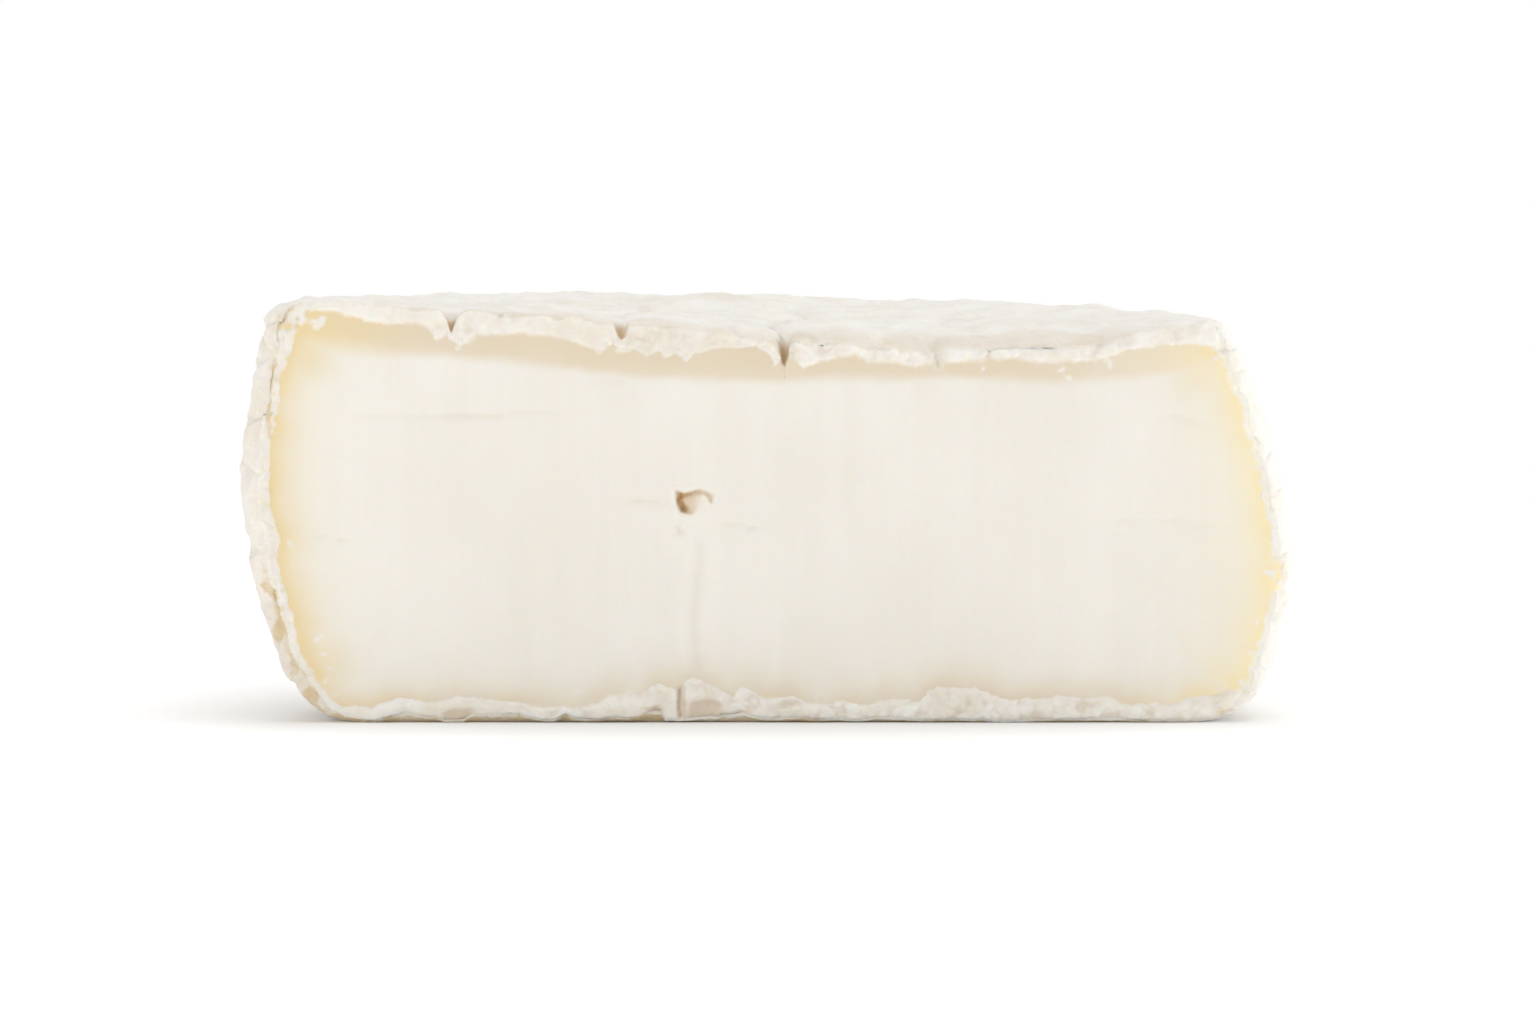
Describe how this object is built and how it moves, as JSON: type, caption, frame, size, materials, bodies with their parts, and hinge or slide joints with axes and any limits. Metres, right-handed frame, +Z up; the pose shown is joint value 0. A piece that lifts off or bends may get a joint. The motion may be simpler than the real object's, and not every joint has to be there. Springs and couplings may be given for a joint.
{
  "type": "half cheese wheel",
  "caption": "Half of a soft white-rinded cheese wheel, cut upright through the middle, resting on its flat base.",
  "frame": {"origin": "middle of the bottom of the box around the half wheel, on the face it rests on", "axes": "+X to the right along the cut face, +Y away from the cut face towards the round side, +Z up"},
  "size_m": [0.111, 0.0596, 0.0443],
  "materials": {
    "cheese": "soft cheese: moist ivory paste with a yellow creamline at its edge, in a dry white velvety rind"
  },
  "bodies": {
    "root": {"cheese_half": "cheese"}
  },
  "joints": []
}
